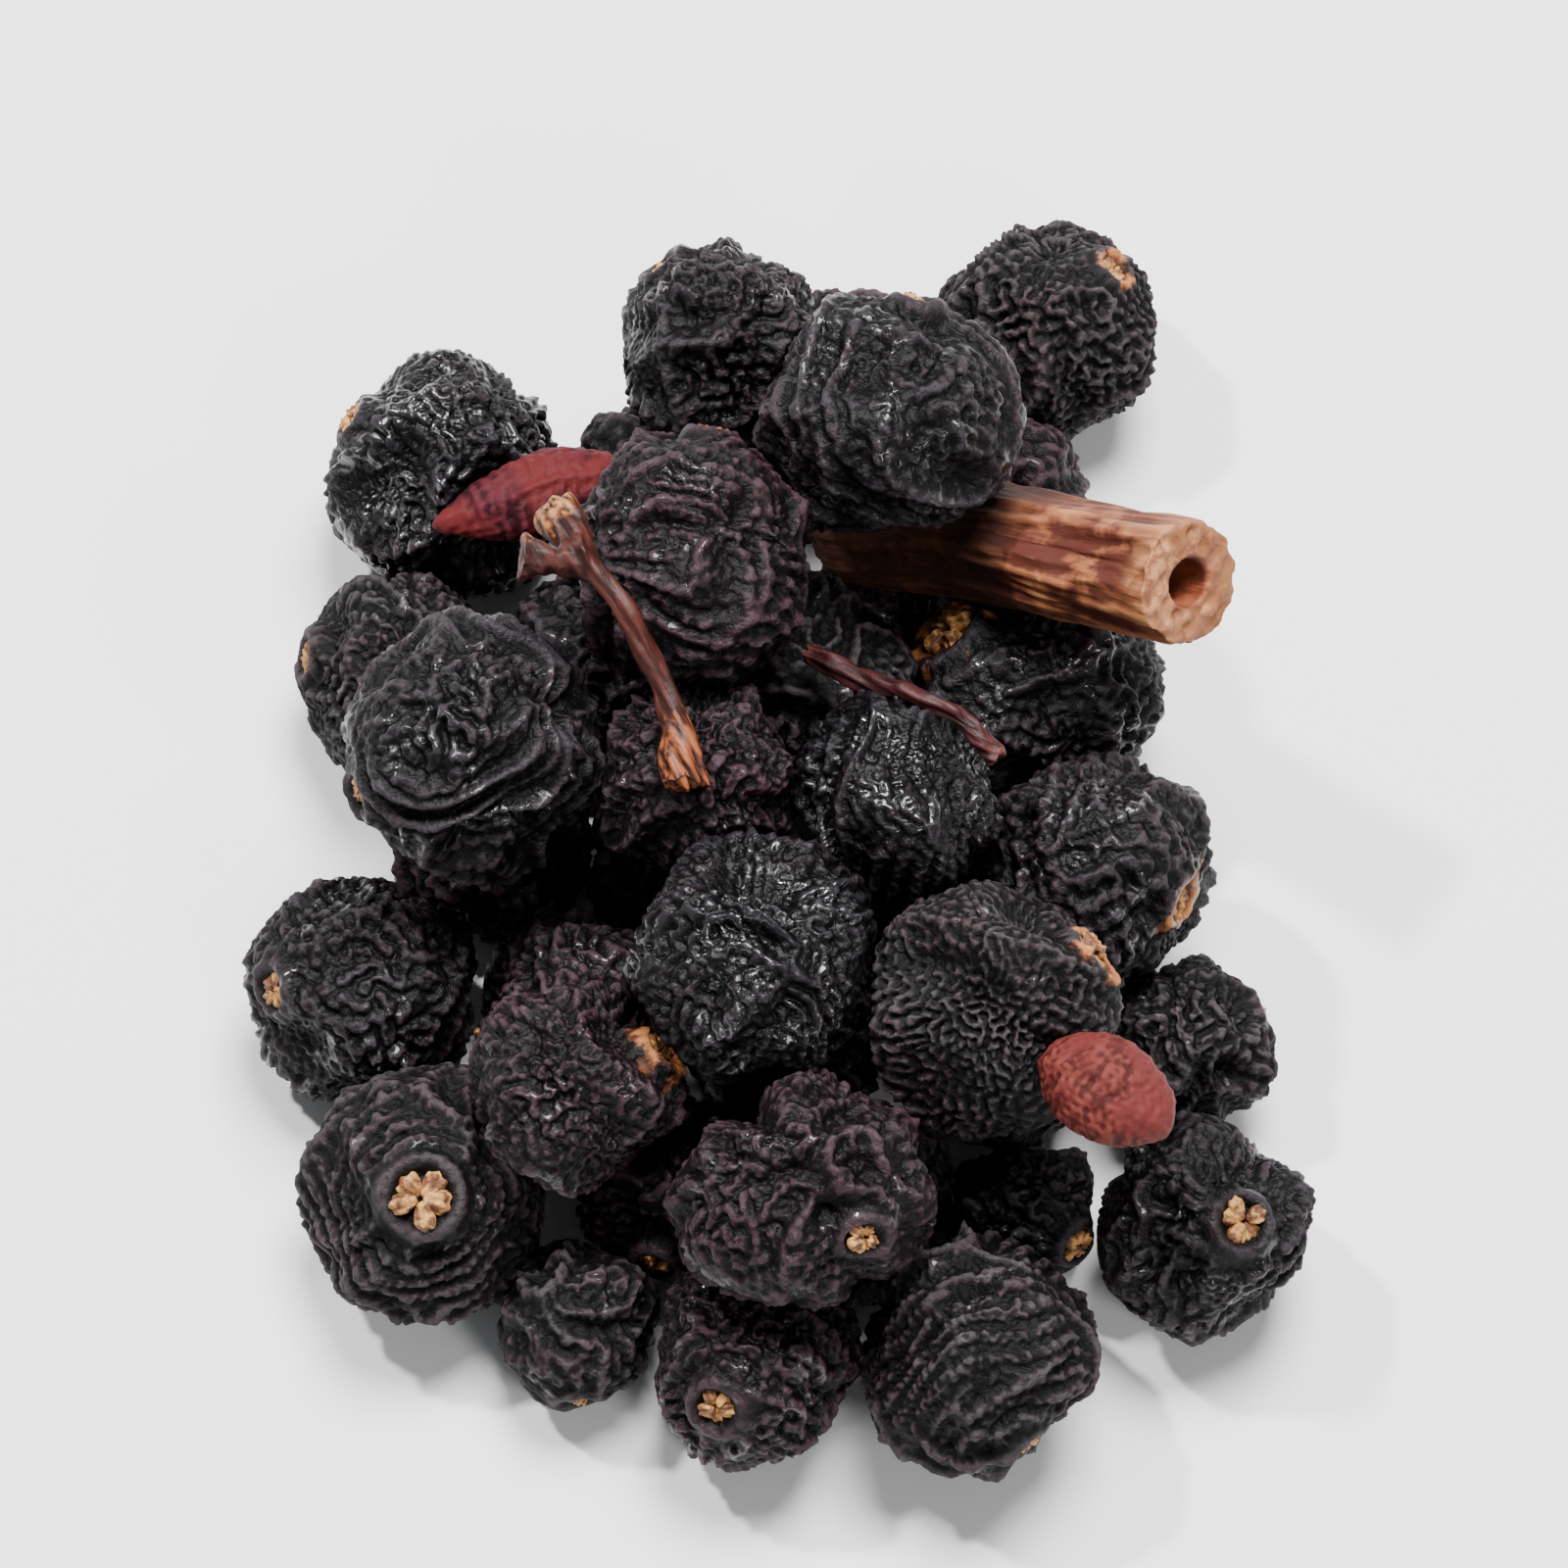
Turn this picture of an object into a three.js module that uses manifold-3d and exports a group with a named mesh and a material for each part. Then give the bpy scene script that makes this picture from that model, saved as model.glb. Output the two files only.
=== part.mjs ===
// A clump of dried elderberries: shrivelled berries that their own dried juice holds together round a piece of
// their stalk, with a forked pedicel, a broken pedicel and two bare seeds caught in it.
// Millimetres, +Z up. The clump lies on the plane z = 0, with its origin under the middle of its box.
import * as THREE from "three";
import { mergeVertices } from "three/addons/utils/BufferGeometryUtils.js";
import Module from "manifold-3d";

const wasm = await Module();
wasm.setup();

// ---- Driving dimensions ----
const GAP = 0.08; // kept between neighbouring solids

const BERRY_SIZE = 1.1; // makes every berry larger, while the clump keeps its layout
const PRESS = 0.86; // distance between two pressed berries, as a share of their two radii together
const FLOOR_PRESS = 0.84; // height of a lowest berry's middle, as a share of its radius
const SETTLE_STEPS = 400;
const SETTLE_FALL = 0.01; // how far a berry drops in one settling step
const SETTLE_PULL = 0.015; // how far it moves towards the middle of the clump in one settling step
const STALK_STOPS = 8; // how many points stand for the stalk while the berries settle round it
const HOLD = 0.015; // how strongly a berry keeps to its place, seen from above, while the clump settles

const BERRY_SIDES = 10;
// A berry's outline from its calyx (0 degrees) to where its pedicel sat (180 degrees), as angle and share of the
// radius: a cup with a raised rim, a hollow round the rim, the round body and a dimple.
const BERRY_OUTLINE = [
  [0, 0.99], [8, 1.05], [14, 1.02], [24, 0.96], [40, 0.99], [57, 1],
  [74, 1], [91, 1], [108, 1], [125, 1], [143, 0.99], [162, 0.95], [180, 0.91],
];
const DENTS = 3; // broad dents of a dried berry, each with finer folds across it
const DENT_DEPTH = 0.05; // as a share of the radius
const DENT_TURNS = 2.6; // radians that a dent's wave turns over one radius
const FOLD_DEPTH = 0.03;
const FOLD_TURNS = 7;
const FULLNESS = 1.14; // makes up for what the dents take away

const STALK_R = 0.88; // at its cut end
const STALK_JOINT_R = 1.02; // where it swells at the joint under the berries
const JOINT_FROM = 0.55; // share of the stalk's length where it starts to swell
const JOINT_FULL = 0.85; // and where it is thickest
const JOINT_END = 0.7; // how much thinner it is at its very end
const PITH_R = 0.34; // hollow in the cut end, where the pith has dried out
const PITH_STEPS = 3; // depth of the hollow, in steps along the stalk
const RAY_R = 0.3; // stump of a ray that left the stalk at the joint
const PEDICEL_R = 0.17;
const PEDICEL_FLARE_R = 0.34; // torn ends of the pedicels
const THIN_PEDICEL_R = 0.13;
const THIN_FLARE_R = 0.17;
const FLARE_FROM = 0.22; // a pedicel flares from this share of its length away from its middle
const FLARE_FULL = 0.46;
const STEP_ALONG = 0.45; // distance between two rings of a stalk or pedicel
const STALK_SIDES = 12;
const PEDICEL_SIDES = 8;

const COLOURS = { berry: 0x1d1a1d, stalk: 0x8a4b26, pedicel: 0x9a5c33, seed: 0x7a3035 };

const V = (x, y, z) => new THREE.Vector3(x, y, z);

// ---- Where the pieces lie ----
// at: where the middle of a berry starts before the clump settles. r: its mean radius.
// face: the way its calyx points. long: its three half-axes, as shares of r.
const TOP_BERRIES = [
  { at: [1.0, 4.8, 5.2], r: 1.75, face: [0.3, 0.8, 0.5], long: [1.04, 0.98, 0.96] },
  { at: [-0.9, 6.5, 3.6], r: 1.55, face: [-0.6, 0.7, 0.3], long: [0.95, 1.06, 0.96] },
  { at: [3.5, 6.9, 1.6], r: 1.55, face: [0.62, 0.3, 0.72], long: [1.02, 0.94, 1.02] },
  { at: [3.7, 1.7, 2.1], r: 1.8, face: [-0.8, 0.43, 0.42], long: [1.05, 0.97, 0.95] },
  { at: [-0.9, 2.5, 4.8], r: 1.75, face: [0.2, -0.9, -0.3], long: [0.96, 1.05, 0.97] },
  { at: [-4.5, 5.7, 2.9], r: 1.7, face: [-0.7, 0.1, 0.7], long: [1.02, 0.95, 1.0] },
  { at: [-5.4, 2.4, 1.6], r: 1.45, face: [-0.9, 0.2, 0.2], long: [0.97, 1.04, 0.97] },
  { at: [-3.9, -0.3, 3.6], r: 1.75, face: [-0.5, -0.4, 0.2], long: [0.98, 1.02, 0.97] },
  { at: [-1.0, 0.2, 3.6], r: 1.45, face: [0.7, 0.3, -0.5], long: [1.0, 0.98, 0.98] },
  { at: [1.4, -1.2, 3.9], r: 1.5, face: [0.1, 0.3, -0.9], long: [0.92, 1.1, 0.98] },
  { at: [4.2, -1.4, 2.2], r: 1.7, face: [0.85, -0.4, 0.34], long: [1.0, 1.02, 0.96] },
  { at: [-0.5, -3.4, 4.0], r: 1.7, face: [-0.2, -0.8, -0.4], long: [1.03, 0.97, 0.98] },
  { at: [3.3, -4.0, 3.3], r: 1.7, face: [0.84, 0.28, 0.46], long: [1.02, 0.99, 0.97] },
  { at: [5.2, -3.7, 1.2], r: 1.3, face: [0.9, 0.3, 0.1], long: [0.96, 1.02, 1.0] },
  { at: [-5.0, -3.1, 2.0], r: 1.6, face: [-0.8, -0.2, 0.5], long: [1.0, 1.03, 0.94] },
  { at: [-3.4, -5.4, 3.6], r: 1.45, face: [0.87, 0.25, 0.41], long: [1.06, 0.96, 0.95] },
  { at: [-4.3, -6.6, 2.3], r: 1.7, face: [-0.05, -0.34, 0.94], long: [1.02, 1.0, 0.95] },
  { at: [0.4, -7.2, 3.6], r: 1.65, face: [0.5, -0.6, 0.5], long: [1.05, 0.96, 0.96] },
  { at: [5.2, -6.2, 1.4], r: 1.5, face: [0.3, -0.3, 0.9], long: [1.0, 0.98, 1.0] },
  { at: [-0.4, -7.6, 1.7], r: 1.5, face: [-0.3, -0.7, 0.6], long: [1.0, 1.0, 0.97] },
  { at: [2.8, -7.7, 1.7], r: 1.6, face: [0.4, -0.8, 0.1], long: [1.04, 0.98, 0.95] },
];
// Berries under the others, which carry them.
const UNDER_BERRIES = [
  { at: [0.8, 6.5, 1.5], r: 1.55, face: [0.2, 0.6, -0.7], long: [1, 1, 0.97] },
  { at: [-2.1, 5.4, 1.5], r: 1.55, face: [-0.3, 0.9, 0.1], long: [1, 0.98, 1] },
  { at: [1.9, 4.0, 1.4], r: 1.4, face: [0.8, 0.5, -0.2], long: [1.02, 1, 0.98] },
  { at: [-2.7, 2.5, 1.5], r: 1.55, face: [-0.9, -0.3, 0], long: [0.98, 1, 1] },
  { at: [0.5, 1.8, 1.5], r: 1.55, face: [0.4, 0.1, -0.9], long: [1, 1, 0.96] },
  { at: [-4.8, -0.2, 1.4], r: 1.45, face: [-0.9, 0.3, -0.3], long: [1, 0.96, 1.02] },
  { at: [-2.1, -0.5, 1.4], r: 1.5, face: [-0.1, -0.9, 0.3], long: [1, 0.97, 1] },
  { at: [1.1, -1.2, 1.4], r: 1.5, face: [0.3, 0.5, -0.8], long: [1.02, 1, 0.96] },
  { at: [-2.4, -3.4, 1.4], r: 1.55, face: [-0.7, 0.2, -0.6], long: [1, 1, 0.98] },
  { at: [0.6, -4.1, 1.4], r: 1.55, face: [0.9, 0.1, -0.3], long: [0.97, 1.02, 1] },
  { at: [3.1, -5.4, 1.4], r: 1.4, face: [0.2, 0.8, -0.5], long: [0.97, 1.04, 0.97] },
  { at: [-1.6, -5.9, 1.3], r: 1.35, face: [-0.2, 0.3, -0.9], long: [1, 1.03, 0.97] },
  { at: [1.0, -6.9, 1.3], r: 1.35, face: [0.1, -0.9, -0.3], long: [1.03, 0.97, 1] },
  { at: [-2.3, -7.2, 1.2], r: 1.15, face: [-0.3, -0.8, -0.4], long: [1, 0.97, 1] },
  { at: [1.6, 3.2, 1.2], r: 1.1, face: [0.5, 0.2, -0.8], long: [1.02, 0.98, 1] },
  { at: [3.2, -6.0, 1.2], r: 1.1, face: [0.6, 0.4, -0.6], long: [0.98, 1, 1.02] },
];

// The stalk's route, from its cut end to its joint, and those of the stumps of two rays that left the joint.
const STALK_ROUTE = [V(5.55, 1.6, 6.1), V(4.2, 2.5, 4.75), V(2.4, 3.6, 3.2), V(0.7, 4.4, 2.3)];
const RAY_ROUTES = [
  [V(1.2, 4.2, 2.5), V(0.1, 4.7, 2.5), V(-0.6, 5.0, 2.6)],
  [V(1.2, 4.2, 2.5), V(0.1, 4.2, 2.0), V(-0.5, 4.1, 1.9)],
];
// The pedicels' routes and the seeds' places seen from above. Each rests on the berries beneath it.
const FORKED_ROUTE = [[-3.05, 2.6], [-2.65, 1.8], [-2.15, 1.1], [-1.7, 0.35], [-1.4, -0.4], [-1.3, -1.15]];
const BROKEN_ROUTE = [[0.4, 1.2], [1.05, 0.7], [1.7, 0.35], [2.4, -0.05], [2.95, -0.6]];
const FORK = [V(0, 0, 0), V(-0.45, -0.1, 0.05), V(-0.85, -0.05, 0.1)]; // the fork's side arm, from where it starts
const FORK_AT = 1; // the point of its route where the pedicel forks
const DROP = 0.35; // how much lower than its neighbour a point of a stiff pedicel can lie
// taper: how much narrower a seed is at its point.
const SEED = { at: [-3.5, 4.1], heading: 200, length: 2.8, width: 1.25, thickness: 0.9, taper: 0.4 };
const SHORT_SEED = { at: [4.4, -5.35], heading: -32, length: 2.05, width: 1.5, thickness: 1.1, taper: 0.12 };
const SINK = 0.12; // how deep a pedicel or seed has sunk into the berries' skins

// ---- Small helpers ----

// A repeatable number from 0 to 1.
function chance(n) {
  const s = Math.sin(n * 12.9898 + 4.1414) * 43758.5453;
  return s - Math.floor(s);
}

// A closed geometry as a solid that can be joined and cut.
function solidOf(geometry) {
  const bare = new THREE.BufferGeometry();
  bare.setAttribute("position", geometry.attributes.position);
  bare.setIndex(geometry.index);
  const merged = mergeVertices(bare, 1e-4);
  const corners = merged.index.array;
  const faces = [];
  for (let i = 0; i < corners.length; i += 3) {
    const [a, b, c] = [corners[i], corners[i + 1], corners[i + 2]];
    if (a !== b && b !== c && c !== a) faces.push(a, b, c);
  }
  return new wasm.Manifold(
    new wasm.Mesh({
      numProp: 3,
      vertProperties: merged.attributes.position.array,
      triVerts: new Uint32Array(faces),
    }),
  );
}

// The largest body of a solid, as a geometry.
function geometryOf(solid) {
  const largest = solid.decompose().reduce((a, b) => (a.volume() > b.volume() ? a : b));
  const mesh = largest.getMesh();
  const geometry = new THREE.BufferGeometry();
  geometry.setAttribute("position", new THREE.BufferAttribute(mesh.vertProperties, 3));
  geometry.setIndex(new THREE.BufferAttribute(mesh.triVerts, 1));
  return geometry;
}

// ---- How the clump settles ----

// Lets the berries drop, draw together and push each other apart until they lie pressed together on the plane
// z = 0. They are pushed off the stalk too, which is given as a row of points that stay where they are.
function settle(berries, stalkPoints) {
  for (let step = 0; step < SETTLE_STEPS; step++) {
    for (const b of berries) {
      const inward = V(-b.centre.x, -b.centre.y, 0).setLength(SETTLE_PULL);
      b.centre.x += (b.at[0] - b.centre.x) * HOLD + inward.x;
      b.centre.y += (b.at[1] - b.centre.y) * HOLD + inward.y;
      b.centre.z -= SETTLE_FALL;
    }
    berries.forEach((a, i) => {
      for (const b of berries.slice(i + 1)) {
        const apart = b.centre.clone().sub(a.centre);
        const overlap = (a.r + b.r) * PRESS - apart.length();
        if (overlap <= 0) continue;
        apart.setLength(overlap / 2);
        a.centre.sub(apart);
        b.centre.add(apart);
      }
    });
    for (const b of berries) {
      for (const point of stalkPoints) {
        const away = b.centre.clone().sub(point);
        const overlap = (b.r + STALK_JOINT_R) * PRESS - away.length();
        if (overlap > 0) b.centre.add(away.setLength(overlap));
      }
      b.centre.z = Math.max(b.centre.z, b.r * FLOOR_PRESS);
    }
  }
}

// The planes that a berry is pressed flat against: its neighbours' and the one that the clump lies on.
function pressPlanes(berry, berries) {
  const planes = [{ normal: V(0, 0, -1), distance: berry.centre.z }];
  for (const other of berries) {
    const normal = other.centre.clone().sub(berry.centre);
    const apart = normal.length();
    if (other === berry || apart > (berry.r + other.r) * FULLNESS) continue;
    const distance = (apart ** 2 + berry.r ** 2 - other.r ** 2) / (2 * apart) - GAP / 2;
    planes.push({ normal: normal.divideScalar(apart), distance });
  }
  return planes;
}

// The height at which a small ball, let down at x and y, comes to lie on the berries.
function restHeight([x, y], radius, berries) {
  let z = radius;
  for (const b of berries) {
    const aside = Math.hypot(x - b.centre.x, y - b.centre.y);
    const reach = b.r + radius;
    if (aside < reach) z = Math.max(z, b.centre.z + Math.sqrt(reach ** 2 - aside ** 2));
  }
  return z - SINK;
}

// Lays a stiff pedicel's route on the berries: it bridges the hollows between them.
function lay(route, radius, berries) {
  const heights = route.map((p) => restHeight(p, radius, berries));
  return route.map(([x, y], i) => V(x, y, Math.max(...heights.map((z, j) => z - DROP * Math.abs(i - j)))));
}

// ---- The pieces ----

// How far a dried berry has drawn in along a direction, as a share of its radius.
function shrivel(direction, seed) {
  let share = FULLNESS;
  for (let k = 0; k < DENTS; k++) {
    const [x, y, z, start, fine] = [0, 1, 2, 3, 4].map((n) => chance((seed * DENTS + k) * 5 + n));
    const along = direction.dot(V(x - 0.5, y - 0.5, z - 0.5).normalize());
    share -= DENT_DEPTH * Math.abs(Math.sin(DENT_TURNS * along + 2 * Math.PI * start));
    share -= FOLD_DEPTH * Math.abs(Math.sin(FOLD_TURNS * along + 2 * Math.PI * fine));
  }
  return share;
}

function berryGeometry(berry, seed, planes) {
  const outline = BERRY_OUTLINE.map(([angle, share]) => {
    const a = THREE.MathUtils.degToRad(angle);
    return new THREE.Vector2(angle % 180 === 0 ? 0 : share * Math.sin(a), share * Math.cos(a));
  });
  const geometry = new THREE.LatheGeometry(outline.reverse(), BERRY_SIDES);
  const turn = new THREE.Quaternion().setFromUnitVectors(V(0, 1, 0), V(...berry.face).normalize());
  const points = geometry.attributes.position;
  for (let i = 0; i < points.count; i++) {
    const p = new THREE.Vector3().fromBufferAttribute(points, i).applyQuaternion(turn);
    const share = p.length();
    p.normalize();
    const oval = 1 / Math.hypot(p.x / berry.long[0], p.y / berry.long[1], p.z / berry.long[2]);
    let reach = berry.r * share * oval * shrivel(p, seed);
    for (const plane of planes) {
      const facing = p.dot(plane.normal);
      if (facing > 0) reach = Math.min(reach, plane.distance / facing);
    }
    p.multiplyScalar(reach).add(berry.centre);
    points.setXYZ(i, p.x, p.y, p.z);
  }
  return geometry;
}

// A twig: a lathed rod bent along a curve. radiusAt gives its radius from 0 (start) to 1 (end), hollow is the
// depth of a hole of PITH_R in its start, in steps, and grow makes it thicker and longer all over.
function twigGeometry(route, radiusAt, sides, { hollow = 0, grow = 0 } = {}) {
  const curve = new THREE.CatmullRomCurve3(route);
  const steps = Math.ceil(curve.getLength() / STEP_ALONG);
  const outline = [new THREE.Vector2(0, hollow)];
  if (hollow) outline.push(new THREE.Vector2(PITH_R, hollow), new THREE.Vector2(PITH_R, 0));
  for (let k = 0; k <= steps; k++) outline.push(new THREE.Vector2(radiusAt(k / steps) + grow, k));
  outline.push(new THREE.Vector2(0, steps));
  const geometry = new THREE.LatheGeometry(outline, sides);
  const frames = curve.computeFrenetFrames(steps);
  const points = geometry.attributes.position;
  for (let i = 0; i < points.count; i++) {
    const k = Math.round(points.getY(i));
    const longer = k === 0 ? -grow : k === steps ? grow : 0;
    const p = curve.getPointAt(k / steps);
    p.addScaledVector(frames.tangents[k], longer);
    p.addScaledVector(frames.binormals[k], points.getX(i));
    p.addScaledVector(frames.normals[k], points.getZ(i));
    points.setXYZ(i, p.x, p.y, p.z);
  }
  return geometry;
}

const { lerp, smoothstep } = THREE.MathUtils;

function stalkSolid(grow = 0) {
  const stalkRadius = (t) =>
    lerp(STALK_R, STALK_JOINT_R, smoothstep(t, JOINT_FROM, JOINT_FULL)) * (t === 1 ? JOINT_END : 1);
  const hollow = grow ? 0 : PITH_STEPS;
  const stalk = solidOf(twigGeometry(STALK_ROUTE, stalkRadius, STALK_SIDES, { hollow, grow }));
  const rays = RAY_ROUTES.map((route) => solidOf(twigGeometry(route, () => RAY_R, PEDICEL_SIDES, { grow })));
  return rays.reduce((joined, ray) => joined.add(ray), stalk);
}

// A pedicel is thin and flares at both torn ends.
function pedicelSolid(routes, radius, flare, grow) {
  const radiusAt = (t) => lerp(radius, flare, smoothstep(Math.abs(t - 0.5), FLARE_FROM, FLARE_FULL));
  const parts = routes.map((route) => solidOf(twigGeometry(route, radiusAt, PEDICEL_SIDES, { grow })));
  return parts.reduce((joined, part) => joined.add(part));
}

// A seed: a flattened egg that lies on its flat side, its pointed end towards its heading in degrees.
function seedSolid({ at, heading, length, width, thickness, taper }, berries, grow) {
  const egg = new THREE.SphereGeometry(1, 12, 9);
  const points = egg.attributes.position;
  for (let i = 0; i < points.count; i++) {
    const along = points.getY(i);
    const narrow = 1 - taper * Math.max(along, 0);
    points.setX(i, points.getX(i) * narrow * (width / 2 + grow));
    points.setZ(i, points.getZ(i) * narrow * (thickness / 2 + grow));
    points.setY(i, along * (length / 2 + grow));
  }
  egg.rotateZ(THREE.MathUtils.degToRad(heading - 90));
  egg.translate(...at, restHeight(at, thickness / 2, berries));
  return solidOf(egg);
}

// ---- The assembly ----
const berries = [...TOP_BERRIES, ...UNDER_BERRIES].map((b) => ({
  ...b,
  r: b.r * BERRY_SIZE,
  centre: V(...b.at),
}));
settle(berries, new THREE.CatmullRomCurve3(STALK_ROUTE).getSpacedPoints(STALK_STOPS));
const forkedRoute = lay(FORKED_ROUTE, PEDICEL_R, berries);
const forkRoute = FORK.map((p) => p.clone().add(forkedRoute[FORK_AT]));
const brokenRoute = lay(BROKEN_ROUTE, THIN_PEDICEL_R, berries);

// Each piece that lies between the berries, as a function of how much larger than life it is made.
const CAUGHT = [
  { name: "stalk", colour: COLOURS.stalk, solid: stalkSolid },
  {
    name: "forked_pedicel",
    colour: COLOURS.pedicel,
    solid: (grow) => pedicelSolid([forkedRoute, forkRoute], PEDICEL_R, PEDICEL_FLARE_R, grow),
  },
  {
    name: "broken_pedicel",
    colour: COLOURS.pedicel,
    solid: (grow) => pedicelSolid([brokenRoute], THIN_PEDICEL_R, THIN_FLARE_R, grow),
  },
  { name: "seed", colour: COLOURS.seed, solid: (grow) => seedSolid(SEED, berries, grow) },
  { name: "short_seed", colour: COLOURS.seed, solid: (grow) => seedSolid(SHORT_SEED, berries, grow) },
];

const clump = new THREE.Group();

function addPiece(name, geometry, colour, roughness) {
  geometry.computeBoundingBox();
  const centre = geometry.boundingBox.getCenter(new THREE.Vector3());
  geometry.translate(-centre.x, -centre.y, -centre.z);
  geometry.computeVertexNormals();
  const material = new THREE.MeshStandardMaterial({ color: colour, roughness, metalness: 0 });
  const mesh = new THREE.Mesh(geometry, material);
  mesh.name = name;
  mesh.position.copy(centre);
  clump.add(mesh);
}

const beds = CAUGHT.map((piece) => piece.solid(GAP));
berries.forEach((berry, i) => {
  const bare = solidOf(berryGeometry(berry, i, pressPlanes(berry, berries)));
  const bedded = beds.reduce((solid, bed) => solid.subtract(bed), bare);
  const under = i - TOP_BERRIES.length;
  const name = under < 0 ? `berry_${i + 1}` : `under_berry_${under + 1}`;
  addPiece(name, geometryOf(bedded), COLOURS.berry, 0.5);
});
for (const piece of CAUGHT) addPiece(piece.name, geometryOf(piece.solid(0)), piece.colour, 0.7);

const box = new THREE.Box3().setFromObject(clump);
const middle = box.getCenter(new THREE.Vector3());
clump.position.set(-middle.x, -middle.y, 0);

export default clump;
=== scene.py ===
# %% [markdown]
# # A clump of dried elderberries
# Elderberries shrink to a quarter of their weight as they dry. The flesh goes, the skin stays the size it
# was, and so it buckles into dents, folds and fine wrinkles. Their own juice glues the berries together
# round a piece of their stalk. The script loads the plain solids of the clump, and gives each its true
# surface. All lengths in the scene are metres, so sizes are written in millimetres and multiplied by MM.

# %% Load the frame
import math

import bmesh
import bpy
import numpy as np
from mathutils import Matrix, Vector
from mathutils.bvhtree import BVHTree


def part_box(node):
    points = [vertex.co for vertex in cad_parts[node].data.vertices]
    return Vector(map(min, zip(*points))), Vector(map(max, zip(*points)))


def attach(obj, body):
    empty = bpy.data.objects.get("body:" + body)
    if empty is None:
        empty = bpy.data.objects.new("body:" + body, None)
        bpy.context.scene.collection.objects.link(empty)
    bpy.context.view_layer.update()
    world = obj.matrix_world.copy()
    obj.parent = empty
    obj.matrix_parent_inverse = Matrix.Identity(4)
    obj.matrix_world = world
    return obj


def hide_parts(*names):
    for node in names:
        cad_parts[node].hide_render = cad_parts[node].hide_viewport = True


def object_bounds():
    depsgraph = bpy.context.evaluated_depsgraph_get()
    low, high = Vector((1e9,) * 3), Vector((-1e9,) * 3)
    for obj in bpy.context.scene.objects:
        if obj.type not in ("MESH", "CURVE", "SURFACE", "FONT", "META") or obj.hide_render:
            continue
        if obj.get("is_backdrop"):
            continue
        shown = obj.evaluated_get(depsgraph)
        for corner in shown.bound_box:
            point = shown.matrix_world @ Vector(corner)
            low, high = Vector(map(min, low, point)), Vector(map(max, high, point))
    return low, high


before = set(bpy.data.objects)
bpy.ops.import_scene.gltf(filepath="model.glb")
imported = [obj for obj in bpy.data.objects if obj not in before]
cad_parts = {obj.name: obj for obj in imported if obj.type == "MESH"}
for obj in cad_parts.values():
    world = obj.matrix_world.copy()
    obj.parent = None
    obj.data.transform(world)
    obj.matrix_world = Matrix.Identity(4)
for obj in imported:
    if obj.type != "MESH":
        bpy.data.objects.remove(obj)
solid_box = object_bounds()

MM = 0.001
clump_low, clump_high = (Vector(corner) for corner in solid_box)
clump_middle = (clump_low + clump_high) / 2
clump_size = clump_high - clump_low
print(f"solids: {len(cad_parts)}, clump {clump_size.x / MM:.1f} x {clump_size.y / MM:.1f} "
      f"x {clump_size.z / MM:.1f} mm")

# %% [markdown]
# ## Camera
# The clump is looked down on from well above its front, through a long lens, so that berries at the back
# are about as large as those in front. The camera is aimed with to_track_quat, which turns an object's -Z
# axis along a direction. The clump is tiny, so the clipping distance has to be far shorter than Blender's
# default.

# %% Camera
CAMERA_HEIGHT_DEG = 68
CAMERA_DISTANCE = 160 * MM
VIEW_WIDTH = 21.5 * MM
lens = bpy.data.cameras.new("camera")
lens.lens = lens.sensor_width * CAMERA_DISTANCE / VIEW_WIDTH
lens.clip_start = 5 * MM
camera = bpy.data.objects.new("camera", lens)
bpy.context.scene.collection.objects.link(camera)
rise = math.radians(CAMERA_HEIGHT_DEG)
towards_camera = Vector((0, -math.cos(rise), math.sin(rise)))
camera.location = clump_middle + towards_camera * CAMERA_DISTANCE
camera.rotation_euler = (-towards_camera).to_track_quat("-Z", "Y").to_euler()
bpy.context.scene.camera = camera
print(f"camera {CAMERA_HEIGHT_DEG} degrees above the horizon, lens {lens.lens:.0f} mm")

# %% [markdown]
# ## Shader maths in Python
# A material with a dozen Math nodes is hard to read as a list of nodes and links. A small class that wraps
# a socket and overloads the operators lets the same maths be written as an expression: `1 - mask * 0.5`
# adds two Math nodes and gives back the socket of the last. Any other node comes from one method, `node`.

# %% Shader helper
class Socket:
    def __init__(self, shader, output):
        self.shader = shader
        self.output = output

    def _math(self, operation, *inputs):
        return self.shader.node("Math", {"operation": operation}, inputs)

    def __add__(self, other):
        return self._math("ADD", self, other)

    def __mul__(self, other):
        return self._math("MULTIPLY", self, other)

    def __sub__(self, other):
        return self._math("SUBTRACT", self, other)

    def __rsub__(self, other):
        return self._math("SUBTRACT", other, self)

    def __abs__(self):
        return self._math("ABSOLUTE", self)

    __radd__ = __add__
    __rmul__ = __mul__

    def ramp(self, low, high):
        """0 where the value is below low, 1 where it is above high, and smooth between."""
        inputs = {"Value": self, "From Min": low, "From Max": high}
        return self.shader.node("MapRange", {"interpolation_type": "SMOOTHSTEP"}, inputs)


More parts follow.
